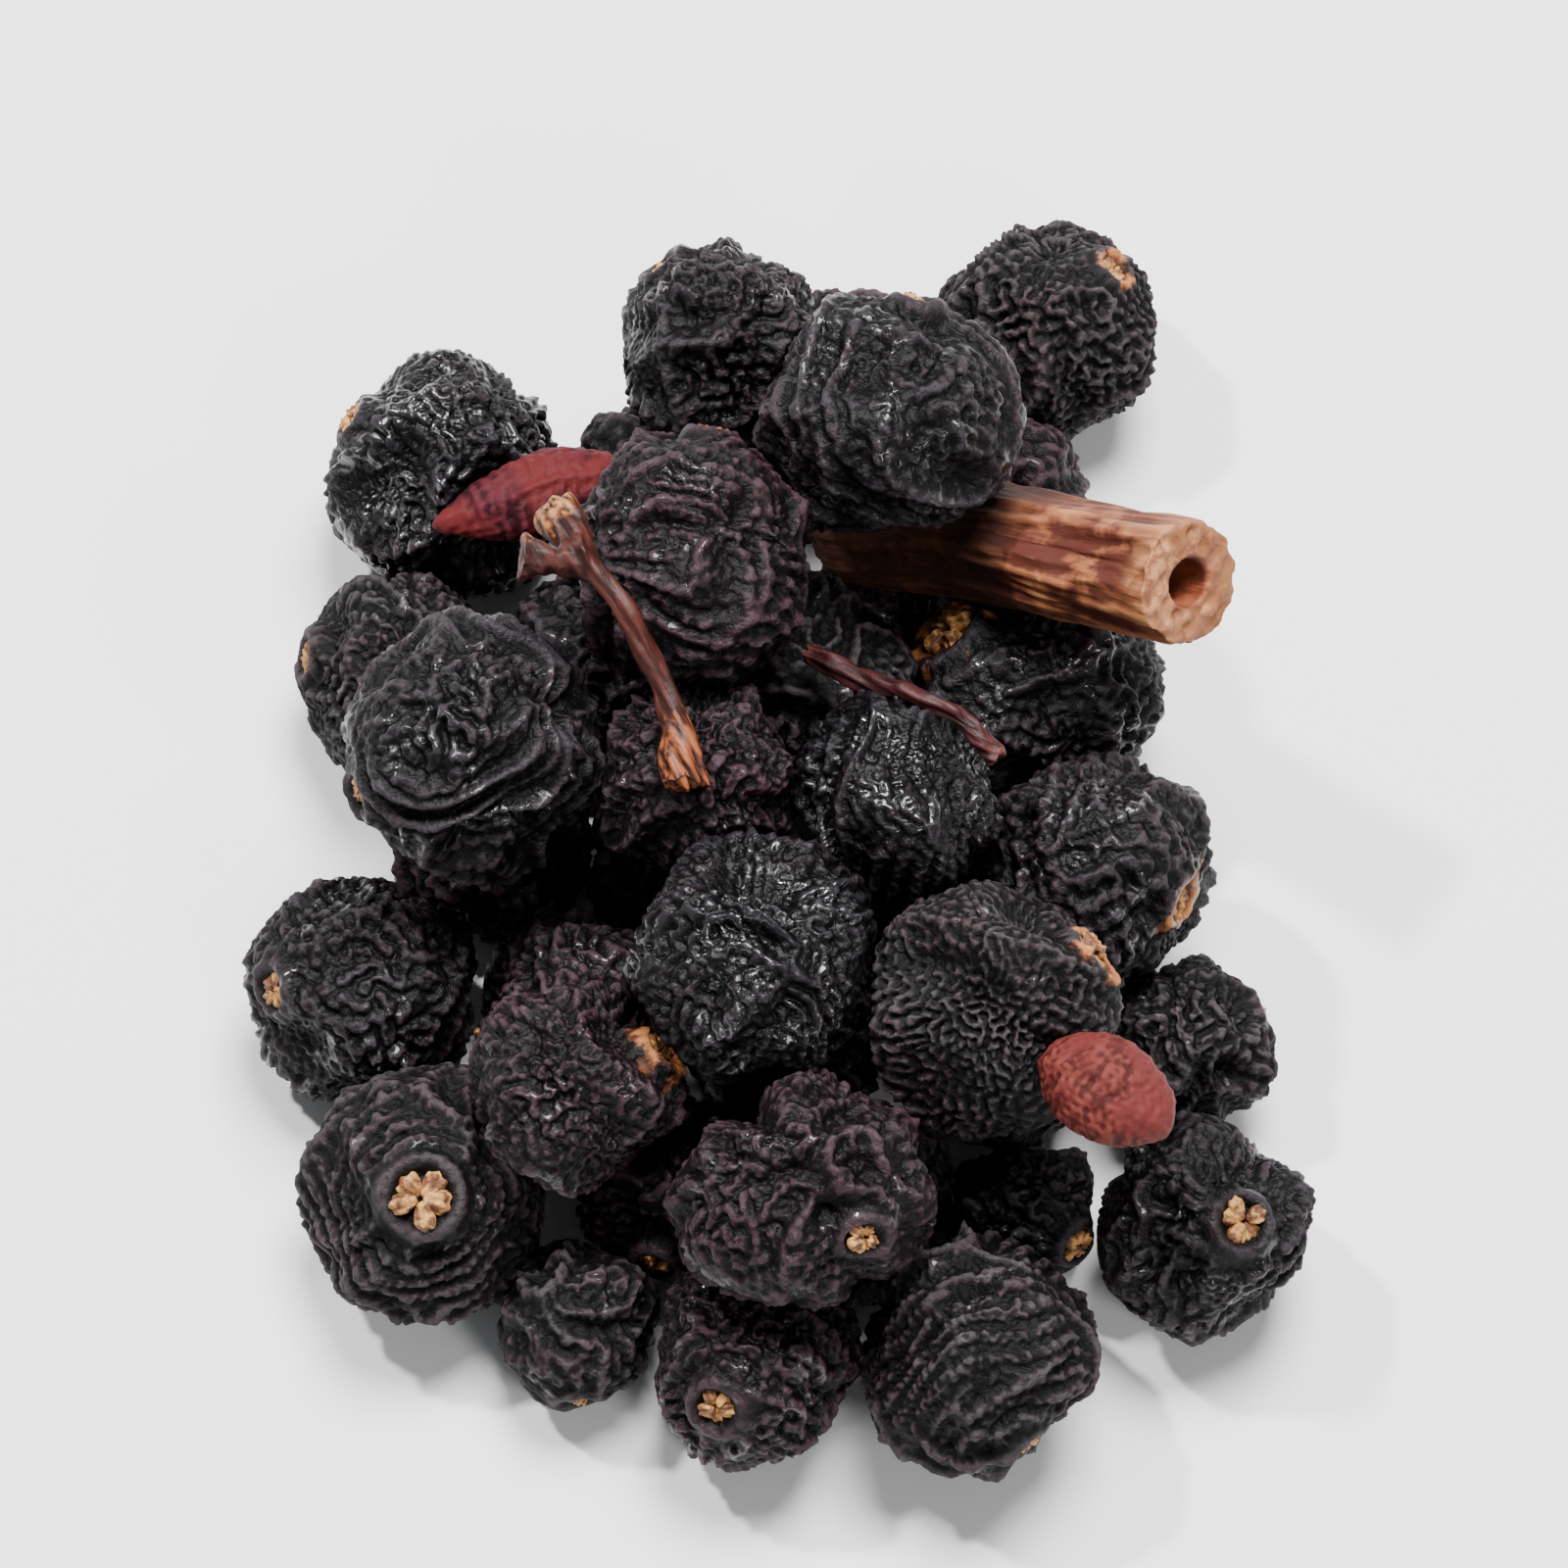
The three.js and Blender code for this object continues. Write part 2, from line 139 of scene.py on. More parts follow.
class Shader:
    """A new material with a Principled BSDF, and the means to add nodes to it."""

    def __init__(self, name, **constants):
        self.material = bpy.data.materials.new(name)
        self.material.use_nodes = True
        self.tree = self.material.node_tree
        self.surface = self.tree.nodes["Principled BSDF"]
        for socket, value in constants.items():
            self.surface.inputs[socket.replace("_", " ")].default_value = value

    def node(self, kind, settings, inputs, output=0):
        made = self.tree.nodes.new("ShaderNode" + kind)
        for setting, value in settings.items():
            setattr(made, setting, value)
        named = inputs.items() if isinstance(inputs, dict) else enumerate(inputs)
        for key, value in named:
            self.link(value, made.inputs[key])
        return Socket(self, made.outputs[output])

    def link(self, value, socket):
        if isinstance(value, Socket):
            self.tree.links.new(value.output, socket)
        else:
            socket.default_value = value

    def feed(self, **values):
        for socket, value in values.items():
            self.link(value, self.surface.inputs[socket.replace("_", " ")])

    def stored(self, name, output="Fac"):
        """What the mesh stores at its points under a name, such as how high each stands in the wrinkles."""
        return self.node("Attribute", {"attribute_name": name}, {}, output)

    def noise(self, size, place=None, detail=2.0, twist=0.0):
        """Noise from 0 to 1 with blobs of about this size."""
        place = place or self.node("TexCoord", {}, {}, "Object")
        inputs = {"Vector": place, "Scale": 1 / size, "Detail": detail, "Distortion": twist}
        return self.node("TexNoise", {}, inputs)

    def blend(self, mask, low, high):
        """A colour: low where the mask is 0, high where it is 1."""
        low, high = (c if isinstance(c, Socket) else (*c, 1) for c in (low, high))
        return self.node("Mix", {"data_type": "RGBA"}, {"Factor": mask, 6: low, 7: high}, 2)

    def bump(self, height, depth):
        return self.node("Bump", {}, {"Height": height, "Distance": depth, "Strength": 1.0})


# %% [markdown]
# ## Floor and light
# Near-black fruit shows its shape almost only by its highlights. A small hard light from the upper left
# puts sparks on the sticky skin, one large soft light overhead gives each wrinkle a pale edge, a weak one
# from the front right lifts the near sides, and a pale world fills the rest. The floor is plain and nearly
# white.

# %% Floor and light
def add_light(name, way, distance, size, watts):
    light = bpy.data.lights.new(name, "AREA")
    light.shape = "DISK"
    light.size = size
    light.energy = watts
    lamp = bpy.data.objects.new(name, light)
    bpy.context.scene.collection.objects.link(lamp)
    way = Vector(way).normalized()
    lamp.location = clump_middle + way * distance
    lamp.rotation_euler = (-way).to_track_quat("-Z", "Y").to_euler()


add_light("soft_overhead", (0.15, 0.35, 1), 0.25, 0.12, 1.65)
add_light("spark", (-0.5, 0.35, 0.9), 0.22, 0.016, 0.55)
add_light("front_fill", (0.6, -0.8, 0.9), 0.3, 0.08, 0.32)

WORLD_STRENGTH = 0.26
world = bpy.data.worlds.new("studio")
bpy.context.scene.world = world
world.use_nodes = True
world.node_tree.nodes["Background"].inputs["Color"].default_value = (0.94, 0.97, 1.0, 1)
world.node_tree.nodes["Background"].inputs["Strength"].default_value = WORLD_STRENGTH

bm = bmesh.new()
bmesh.ops.create_grid(bm, x_segments=2, y_segments=2, size=1.5)
floor_mesh = bpy.data.meshes.new("floor")
bm.to_mesh(floor_mesh)
bm.free()
floor = bpy.data.objects.new("floor", floor_mesh)
bpy.context.scene.collection.objects.link(floor)
paper = Shader("floor_paper", Base_Color=(0.9, 0.9, 0.9, 1), Roughness=0.7, Specular_IOR_Level=0.2)
floor_mesh.materials.append(paper.material)
floor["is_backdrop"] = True

# %% [markdown]
# ## Points and their neighbours
# Wrinkles are grown on a surface by letting neighbouring points talk to each other, so a Surface keeps a
# table of the points that each point shares an edge with. Where a point has fewer neighbours than the table
# is wide, it counts as its own neighbour. Numpy then smooths thousands of points in one step.

# %% Surface
def read_vectors(items, name):
    values = np.empty(len(items) * 3)
    items.foreach_get(name, values)
    return values.reshape(-1, 3)


def store(mesh, name, values):
    """Keeps a number or a vector for every point of a mesh, for its material to read."""
    if values.ndim == 1:
        mesh.attributes.new(name, "FLOAT", "POINT").data.foreach_set("value", values)
    else:
        mesh.attributes.new(name, "FLOAT_VECTOR", "POINT").data.foreach_set("vector", values.ravel())


class Surface:
    def __init__(self, mesh):
        self.points = read_vectors(mesh.vertices, "co")
        ends = np.empty(len(mesh.edges) * 2, dtype=int)
        mesh.edges.foreach_get("vertices", ends)
        ends = ends.reshape(-1, 2)
        both = np.concatenate([ends, ends[:, ::-1]])
        both = both[np.argsort(both[:, 0], kind="stable")]
        first = np.searchsorted(both[:, 0], np.arange(len(self.points)))
        rank = np.arange(len(both)) - first[both[:, 0]]
        self.near = np.repeat(np.arange(len(self.points))[:, None], rank.max() + 1, axis=1)
        self.near[both[:, 0], rank] = both[:, 1]

    def smooth(self, values, times):
        """Each point takes the mean of itself and its neighbours, again and again."""
        for _ in range(times):
            values = (values + values[self.near].mean(axis=1)) / 2
        return values


# %% [markdown]
# ## A ball of skin
# Every berry starts as the same ball: an icosphere, because its points lie almost evenly, without the
# crowded poles of a UV sphere, and wrinkles need the same fineness everywhere. It is made once. Each berry
# copies it and moves its points, which is much faster than making 37 balls.

# %% The ball
class Ball(Surface):
    def __init__(self, name, cuts):
        bm = bmesh.new()
        bmesh.ops.create_icosphere(bm, subdivisions=5, radius=1)
        if cuts:
            bmesh.ops.subdivide_edges(bm, edges=bm.edges[:], cuts=cuts, use_grid_fill=True)
        for v in bm.verts:
            v.co.normalize()
        for f in bm.faces:
            f.smooth = True
        self.mesh = bpy.data.meshes.new(name)
        bm.to_mesh(self.mesh)
        bm.free()
        super().__init__(self.mesh)
        self.spacing = math.sqrt(8 * math.pi / math.sqrt(3) / len(self.points))  # on a radius of 1

    def smooth_over(self, values, length, size):
        """Smooths values over about this length of the skin of a berry with this radius."""
        return self.smooth(values, round((length / size / self.spacing) ** 2 * 4))


fine_ball = Ball("fine_ball", 2)
plain_ball = Ball("plain_ball", 1)
print(f"fine ball: {len(fine_ball.points)} points, plain ball: {len(plain_ball.points)} points")

# %% [markdown]
# ## The shape that the neighbours leave
# The solids hold each berry's size, its oval and the flats where it is pressed against its neighbours. A
# ray is sent from the middle of the solid along every direction of the ball, and where it meets the solid's
# surface tells how far out the skin lies there. The solid is faceted, so the distances are smoothed before
# use.

# %% Reading a solid
def reach_of(node, ball):
    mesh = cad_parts[node].data
    tree = BVHTree.FromPolygons([v.co for v in mesh.vertices], [tuple(p.vertices) for p in mesh.polygons])
    low, high = (Vector(corner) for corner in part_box(node))
    middle = (low + high) / 2
    reach = np.array([tree.ray_cast(middle, Vector(way))[3] or 0 for way in ball.points])
    reach[reach == 0] = reach[reach > 0].mean()
    return np.array(middle), reach


# %% [markdown]
# ## How skin wrinkles
# When a stiff skin is glued to a core that shrinks, it buckles, and every wrinkle comes out about as wide
# as the others: a narrow one costs too much bending and a wide one presses too far into the core. The same
# rule, "agree with what is near, differ from what is a little further off", grows such a pattern out of
# noise. `buckle` takes the difference between a lightly and a strongly smoothed copy of the values,
# exaggerates it, and repeats. It settles into winding ridges of one width, which no ready-made noise
# texture gives.

# %% Growing wrinkles
def buckle(ball, values, width, rounds):
    """Ridges and furrows of about this width, on a radius of 1, as numbers from -1 to 1."""
    steps = max(2, round((width / ball.spacing / 3.25) ** 2))
    for _ in range(rounds):
        slight = ball.smooth(values, steps)
        values = slight - ball.smooth(slight, 3 * steps)
        values = np.tanh(1.6 * values / values.std())
    return values


def waves(points, length, dice, count=14):
    """A random swell with this wavelength, about -2 to 2: many plane waves that run in all directions."""
    swell = np.zeros(len(points))
    for _ in range(count):
        way = dice.normal(size=3)
        way *= 2 * math.pi / length / np.linalg.norm(way)
        swell += np.cos(points @ way + dice.uniform(0, 2 * math.pi))
    return swell * math.sqrt(2 / count)


def step(values, at, softness):
    """0 well below a value, 1 well above it."""
    return 1 / (1 + np.exp(-(values - at) / softness))


def hump(values, at, width):
    return np.exp(-(((values - at) / width) ** 2))


# %% [markdown]
# ## Berries
# A berry's skin is put together from the largest shapes to the smallest: the reach of its solid, a few
# flats where it dried against others, broad dents, folds with sharp crests, the wrinkles, and the fine
# creases that cross them. Wrinkles have wide round backs and narrow furrows, so their height rises steeply
# out of the furrows and then levels off. Each point also stores how high it stands in the wrinkles: the
# material paints shade into the furrows and paler colour onto the backs as painted light, and lets the backs
# catch the light.
#
# At one pole sits the calyx, the dry remains of the flower: a smooth collar with five small sepals folded
# into it.

# %% Looks of the berries
# way: where the calyx points. skin: the finish. crown: the calyx's radius in mm.
# scar: the radius of the bare brown skin round it, in mm. width: of a wrinkle, in mm.
# rings: how strongly the wrinkles run round the calyx. folds: how high the folds are, 1 unless it says.
# welts: an axis, and the shares of the radius along it where long raised folds run round it.
# pinch: the axis across which the berry is pinched in two.
BERRIES = {
    "berry_1": {"way": (0.3, 0.8, 0.5), "skin": "satin", "welts": ((0.4, -0.04, 0.9), (0.62, 0.4, 0.16))},
    "berry_2": {"way": (-0.6, 0.7, 0.3), "skin": "satin"},
    "berry_3": {"way": (0.62, 0.3, 0.72), "skin": "matt", "crown": 0.22, "scar": 0.3, "width": 0.21},
    "berry_4": {"way": (-0.76, 0.33, 0.56), "skin": "satin", "crown": 0.48, "scar": 0.55},
    "berry_5": {"way": (0.2, 0.9, 0.4), "skin": "purple", "rings": 0.6,
                "welts": ((0.1, -0.46, 0.89), (0.8, 0.55, 0.28))},
    "berry_6": {"way": (-0.8, 0.3, 0.5), "skin": "glossy", "width": 0.24},
    "berry_7": {"way": (-0.9, 0.2, 0.2), "skin": "matt"},
    "berry_8": {"way": (-0.8, -0.4, 0.1), "skin": "satin",
                "welts": ((-0.2, 0.04, 0.98), (0.72, 0.5, 0.28, 0.05))},
    "berry_9": {"way": (0.7, 0.3, -0.5), "skin": "purple"},
    "berry_10": {"way": (0.1, 0.3, -0.9), "skin": "glossy", "welts": ((-1, 0.05, 0.1), (0.5, 0.75))},
    "berry_11": {"way": (0.85, -0.4, 0.34), "skin": "satin", "crown": 0.3, "scar": 0.45},
    "berry_12": {"way": (-0.2, -0.8, -0.4), "skin": "glossy", "width": 0.26},
    "berry_13": {"way": (0.84, 0.28, 0.46), "skin": "matt", "crown": 0.34, "scar": 0.5, "width": 0.2,
                 "folds": 0.3},
    "berry_14": {"way": (0.9, 0.3, 0.1), "skin": "matt"},
    "berry_15": {"way": (-0.8, -0.2, 0.5), "skin": "satin", "crown": 0.3},
    "berry_16": {"way": (0.87, 0.25, 0.41), "skin": "purple", "crown": 0.28, "scar": 0.5},
    "berry_17": {"way": (-0.05, -0.34, 0.94), "skin": "matt", "rings": 0.4, "crown": 0.44},
    "berry_18": {"way": (0.5, -0.6, 0.5), "skin": "purple", "crown": 0.26, "pinch": (0.8, 0.5, 0.1)},
    "berry_19": {"way": (0.3, -0.3, 0.9), "skin": "satin", "crown": 0.34},
    "berry_20": {"way": (-0.3, -0.7, 0.6), "skin": "purple", "crown": 0.28},
    "berry_21": {"way": (0.4, -0.8, 0.1), "skin": "matt", "rings": 0.8,
                 "welts": ((0, -0.5, 0.85), (0.6, 0.3))},
}
DEFAULT_CROWN, NO_SCAR, WRINKLE_WIDTH = 0.26, 0.001, 0.3  # in mm, where a berry's look gives none
print(f"looks for {len(BERRIES)} berries")


# %% [markdown]
# ## Skin
# The skin is nearly black, a little brown or purple where it is thin. Its furrows are painted darker still
# as shade and the backs of its wrinkles paler as painted light; the highest ridge tops get a grey that is
# partly bloom and partly a painted highlight. Dull skin has a fine grain. Where juice has dried on it, it
# shines like varnish, so a second noise lays a clear coat over it in patches, and only on the backs of the
# wrinkles: a coat in the furrows would turn them grey. The bare skin round some calyxes is orange-brown,
# with painted shade in its furrows too.

# %% Finishes of the skin
def skin_material(name, back, gloss, roughness, patch_size):
    furrow_shade = [0.12 * c for c in back]
    shader = Shader(name, Specular_IOR_Level=0.11 + 0.07 * gloss, Coat_Roughness=0.1)
    relief = shader.stored("relief")
    specks = shader.noise(0.1 * MM, detail=3)
    tint = shader.noise(1.1 * MM, detail=3, twist=0.6).ramp(0.38, 0.68)
    brown = shader.blend(tint, back, (back[0] * 1.45, back[1] * 0.95, back[2] * 0.95))
    # Painted light and shade: the furrows are painted nearly black as shade and the backs of the wrinkles
    # paler, as if lit.
    lit = (relief + (specks - 0.5) * 1.1).ramp(-0.2, 1.2)
    # The highest, speckled ridge tops are painted pale grey: partly a bloom, partly a painted highlight.
    bloom_and_highlight = (relief * 0.6 + specks).ramp(0.85, 1.15)
    colour = shader.blend(lit, furrow_shade, brown)
    colour = shader.blend(bloom_and_highlight * 0.4, colour, [2.8 * c for c in back])
    scar = (shader.stored("scar") + (specks - 0.5) * 0.9).ramp(0.35, 0.75)
    # The bare orange-brown skin is painted darker in the furrows as shade and paler on the backs as painted
    # light.
    bare = shader.blend(lit, (0.09, 0.028, 0.012), (0.4, 0.15, 0.05))
    shader.feed(Base_Color=shader.blend(scar, colour, bare))
    sticky = shader.noise(patch_size, detail=2, twist=0.8).ramp(0.62 - gloss * 0.2, 0.72 - gloss * 0.16)
    shader.feed(Roughness=roughness - sticky * 0.15 + (specks - 0.5) * 0.3)
    shader.feed(Coat_Weight=sticky * (0.2 + gloss * 0.65) * (relief.ramp(-0.4, 0.4) * 0.85 + 0.15))
    net = 1 - abs(shader.noise(0.17 * MM, detail=3, twist=0.8) - 0.5) * 6.0
    grain = shader.noise(0.05 * MM, detail=2)
    shader.feed(Normal=shader.bump(net * 0.35 + grain * 0.6, 0.028 * MM))
    return shader.material


SKINS = {
    "glossy": skin_material("skin_glossy", (0.009, 0.0075, 0.0096), 0.9, 0.46, 0.9 * MM),
    "satin": skin_material("skin_satin", (0.0137, 0.0113, 0.0136), 0.5, 0.52, 0.8 * MM),
    "matt": skin_material("skin_matt", (0.0228, 0.0197, 0.0216), 0.15, 0.62, 0.6 * MM),
    "purple": skin_material("skin_purple", (0.0207, 0.0128, 0.0162), 0.4, 0.52, 0.7 * MM),
}


def calyx_material():
    """Papery dried sepals, golden tan with random patches of dark brown; real ones are dark brown where they
    fold in.
    """
    shader = Shader("calyx", Roughness=0.6)
    patches = shader.noise(0.16 * MM, detail=3)
    tan = shader.blend(patches.ramp(0.4, 0.62), (0.11, 0.035, 0.01), (0.5, 0.245, 0.07))
    shader.feed(Base_Color=tan)
    shader.feed(Normal=shader.bump(shader.noise(0.05 * MM, detail=3), 0.03 * MM))
    return shader.material


CALYX = calyx_material()


# %% [markdown]
# ## Sepals
# Each sepal is a small ball, flattened, bent over and pushed into the cup, so that five of them meet round
# a dark pit. No two are the same size, because dry sepals chip.

# %% Sepals
def add_crown(bm, at, way, radius, dice):
    up = Vector((0, 0, 1)).rotation_difference(Vector(way)).to_matrix().to_4x4()
    turn = Matrix.Translation(at) @ up @ Matrix.Rotation(dice.uniform(0, 2 * math.pi), 4, "Z")
    for k in range(5):
        length, width = radius * dice.uniform(0.42, 0.58), radius * dice.uniform(0.32, 0.42)
        place = (
            turn
            @ Matrix.Rotation(math.radians(72 * k + dice.uniform(-12, 12)), 4, "Z")
            @ Matrix.Translation((radius * 0.58, 0, dice.uniform(-0.2, 0.1) * radius))
            @ Matrix.Rotation(math.radians(dice.uniform(5, 35)), 4, "Y")
            @ Matrix.Diagonal((length, width, radius * 0.26, 1))
        )
        made = bmesh.ops.create_icosphere(bm, subdivisions=3, radius=1)
        for v in made["verts"]:
            v.co.z += 0.3 * math.sin(7 * v.co.y + k) + 0.25 * math.sin(5 * v.co.x + 2 * k)
            v.co.y *= 1 + 0.2 * v.co.x
        bmesh.ops.transform(bm, matrix=place, verts=made["verts"])
        for f in {f for v in made["verts"] for f in v.link_faces}:
            f.material_index = 1
            f.smooth = True


# %% [markdown]
# ## The large shape of a berry
# The solid's reach still shows its facets, so it is smoothed. A dried berry is never quite round: it
# settled against others while it was soft. Each flat is a plane that cuts the reach short, and a last
# smoothing rounds the edges between flats. Points that still stick out beyond what is around them are drawn
# in.

# %% Pressing a berry
FLATS = 9
FLATTEST, SHALLOWEST = 0.81, 0.97  # how far a flat lies from the middle, as a share of the radius


def press(ball, reach, size, dice):
    reach = ball.smooth_over(reach, 0.2 * MM, size)
    for _ in range(FLATS):
        way = dice.normal(size=3)
        facing = ball.points @ (way / np.linalg.norm(way))
        reach = np.minimum(reach, size * dice.uniform(FLATTEST, SHALLOWEST) / np.maximum(facing, 0.1))
    reach = ball.smooth_over(reach, 0.1 * MM, size)
    around = ball.smooth_over(reach, 0.5 * MM, size)
    return np.minimum(reach, around * 1.01)


# %% [markdown]
# ## Folds and wrinkles
# A wave's absolute value has a sharp crest or a sharp valley where the wave crosses zero, which is how
# creased skin looks, and bending the points first keeps the crests from running straight. The wrinkles
# start from noise. Where a berry has rings or welts, a wave is added to that noise, and the wrinkles then
# line up with it.

# %% Folds and wrinkles
DENT_HEIGHT, FOLD_HEIGHT, WELT_HEIGHT = 0.165 * MM, 0.085 * MM, 0.12 * MM
WRINKLE_HEIGHT, CREASE_HEIGHT, CREASE_WIDTH = 0.085 * MM, 0.018 * MM, 0.17 * MM


def dents_and_folds(points, look, dice):
    bend = np.stack([waves(points, 1.9 * MM, dice, 6) for _ in range(3)], axis=1) * 0.14 * MM
    dents = 0.45 - abs(waves(points + bend, 3.0 * MM, dice))
    folds = 0.5 - abs(waves(points + bend * 1.5, 1.3 * MM, dice))
    return dents * DENT_HEIGHT + folds * look.get("folds", 1) * FOLD_HEIGHT


def wrinkles_and_welts(ball, size, from_calyx, look, dice):
    """The height of the wrinkles and their creases, and where welts run, from 0 to about 1."""
    points = ball.points * size
    patchy = np.clip(0.72 + 0.36 * waves(points, 1.6 * MM, dice), 0.2, 1.4)
    start = dice.normal(size=len(points))
    swirl = 2.2 * waves(points, 1.5 * MM, dice)
    width = look.get("width", WRINKLE_WIDTH) * MM
    if "rings" in look:
        start += 2.5 * look["rings"] * np.cos(2 * math.pi * from_calyx / width + swirl)
    welts = np.zeros(len(points))
    if "welts" in look:
        axis, heights = look["welts"]
        along = ball.points @ np.array(axis) / np.linalg.norm(axis) + 0.07 * waves(points, 1.7 * MM, dice)
        for height in heights:
            strength = np.clip(0.6 + 0.5 * waves(points, 2.5 * MM, dice), 0, 1.2)
            welts += hump(along, height, 0.042) * strength
        start += 0.8 * np.cos(2 * math.pi * along * size / width)
    wrinkles = buckle(ball, start, width / size, 7)
    wrinkles = 1 - (1 - (wrinkles + 1) / 2) ** 2.2  # wide backs, narrow furrows
    creases = buckle(ball, dice.normal(size=len(points)), CREASE_WIDTH / size, 4)
    return (wrinkles - 0.6) * patchy * WRINKLE_HEIGHT + creases * CREASE_HEIGHT, welts


# %% [markdown]
# ## A whole berry
# The shapes are added up along each direction of the ball. Near the calyx the wrinkles fade into a smooth
# raised collar round a cup, in which the sepals sit. Each point then moves to its place in the clump, so the
# berry's object itself stays at the origin.

# %% Building a berry
COLLAR_HEIGHT, CUP_DEPTH, PINCH_DEPTH = 0.08 * MM, 0.12 * MM, 0.22 * MM


def build_berry(name, number, look, ball):
    dice = np.random.default_rng(100 + number)
    middle, reach = reach_of(name, ball)
    size = reach.mean()
    reach = press(ball, reach, size, dice)
    way = np.array(look["way"]) / np.linalg.norm(look["way"])
    from_calyx = np.arccos(np.clip(ball.points @ way, -1, 1)) * size  # over the skin
    points = ball.points * size
    large = dents_and_folds(points, look, dice)
    fine, welts = wrinkles_and_welts(ball, size, from_calyx, look, dice)

    crown = look.get("crown", DEFAULT_CROWN) * MM
    smooth_collar = step(-from_calyx, -crown * 1.9, 0.07 * MM)
    wrinkled = (1 - 0.85 * smooth_collar) * (1 - 0.45 * np.clip(welts, 0, 1))
    skin = reach + wrinkled * (large + fine) + welts * WELT_HEIGHT
    if "pinch" in look:
        skin -= hump(ball.points @ np.array(look["pinch"]), 0, 0.16) * PINCH_DEPTH
    skin += hump(from_calyx, crown * 1.35, 0.13 * MM) * COLLAR_HEIGHT
    skin -= step(-from_calyx, -crown * 0.95, 0.03 * MM) * CUP_DEPTH
    relief = np.clip((skin - ball.smooth(skin, 20)) / (0.035 * MM), -1, 1)
    ragged = 0.25 * waves(points, 0.5 * MM, dice)
    scar = np.clip(1.5 - from_calyx / (look.get("scar", NO_SCAR) * MM) + ragged, 0, 1)

    mesh = ball.mesh.copy()
    mesh.name = name + "_skin"
    mesh.vertices.foreach_set("co", (middle + ball.points * skin[:, None]).ravel())
    store(mesh, "relief", relief)
    store(mesh, "scar", scar)
    bm = bmesh.new()
    bm.from_mesh(mesh)
    seat = middle + way * (skin[np.argmax(ball.points @ way)] + 0.06 * MM)
    add_crown(bm, Vector(seat), way, crown, dice)
    return finish_piece(name, bm, mesh, [SKINS[look["skin"]], CALYX])


# %% Finishing a piece
def finish_piece(name, bm, mesh, materials):
    """Puts a mesh in the scene as the piece that stands for a solid. No point lies below the floor."""
    for v in bm.verts:
        v.co.z = max(v.co.z, 0)
    bm.to_mesh(mesh)
    bm.free()
    for material in materials:
        mesh.materials.append(material)
    piece = bpy.data.objects.new(mesh.name, mesh)
    bpy.context.scene.collection.objects.link(piece)
    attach(piece, "root")
    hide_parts(name)
    return len(mesh.polygons)


# %% The berries on top
faces = 0
for number, (name, look) in enumerate(BERRIES.items(), 1):
    faces += build_berry(name, number, look, fine_ball)
print(f"top berries: {len(BERRIES)}, faces {faces}")

# %% The berries under them
under = sorted(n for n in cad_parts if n.startswith("under_berry"))
for number, name in enumerate(under, 50):
    low, high = (Vector(corner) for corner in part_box(name))
    outward = ((low + high) / 2 - clump_middle).normalized()
    turned = np.random.default_rng(number).normal(size=3) * 0.5
    look = {"way": tuple(np.array(outward) + turned), "skin": ("satin", "matt", "purple")[number % 3]}
    faces += build_berry(name, number, look, plain_ball)
print(f"under berries: {len(under)}, faces in all {faces}")

# %% [markdown]
# ## Wood and seeds
# The stalk, the pedicels and the seeds have edges, forks and a hollow, so they can't grow from a ball.
# Their solids have the right shape but few faces. A voxel remesh gives a copy of each an even net of tiny
# faces, which smoothing frees of the solid's facets. The remesh works only with lengths above a tenth of a
# millimetre in Blender's metres, so it is done a thousand times larger. Then points move along their
# normals to raise fibres and wrinkles.

# %% Fine copies of solids
def fine_copy(node, net, softness):
    """A copy of a solid with faces of this size in mm, in millimetres, and its Surface."""
    bm = bmesh.new()
    bm.from_mesh(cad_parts[node].data)
    bmesh.ops.remove_doubles(bm, verts=bm.verts[:], dist=0.001 * MM)
    bmesh.ops.scale(bm, vec=(1 / MM, 1 / MM, 1 / MM), verts=bm.verts[:])
    coarse = bpy.data.meshes.new(node + "_coarse")
    bm.to_mesh(coarse)
    bm.free()
    holder = bpy.data.objects.new(node + "_coarse", coarse)
    bpy.context.scene.collection.objects.link(holder)
    remesh = holder.modifiers.new("even_net", "REMESH")
    remesh.mode = "VOXEL"
    remesh.voxel_size = net * 1
    bpy.context.view_layer.update()
    mesh = bpy.data.meshes.new_from_object(holder.evaluated_get(bpy.context.evaluated_depsgraph_get()))
    bpy.data.objects.remove(holder)
    mesh.name = node + "_fine"
    surface = Surface(mesh)
    surface.points = surface.smooth(surface.points, softness)
    mesh.vertices.foreach_set("co", surface.points.ravel())
    mesh.update()
    surface.normals = read_vectors(mesh.vertices, "normal")
    return mesh, surface


def long_axes(points):
    """The directions in which a shape is longest, middling and shortest, as rows."""
    return np.linalg.svd(points - points.mean(axis=0), full_matrices=False)[2]


def finish_wood(node, mesh, places, stored, material):
    """Turns a fine copy back to metres and puts it in the scene, with what its material reads."""
    mesh.vertices.foreach_set("co", (places * MM).ravel())
    for name, values in stored.items():
        store(mesh, name, values)
    bm = bmesh.new()
    bm.from_mesh(mesh)
    for f in bm.faces:
        f.smooth = True
    return finish_piece(node, bm, mesh, [material])


# %% [markdown]
# ## Stalk
# The stub is woody: red-brown bark with lengthwise ridges, worn through to pale wood near the cut, and a
# hollow where the pith dried out. Far from the cut, where it runs down into the clump, it is painted nearly
# black as shade. Points of the mesh store how far they lie below the cut, from the middle line and to the
# right of the cut's centre, so the material can put pale wood at the cut, painted shade on that wood right
# of the cut's centre, and dark red pith in the hollow. The fibres follow the stalk, so the pattern reads
# coordinates that are squeezed along it.

# %% Stalk
CUT_WAY = np.array((0.64, -0.43, 0.64)) / np.linalg.norm((0.64, -0.43, 0.64))  # which way the cut end faces
FIBRE_STRETCH = 0.1
HOLLOW_RADIUS, HOLLOW_DEPTH = 0.37, 1.6  # in mm, of the hollow where the pith was


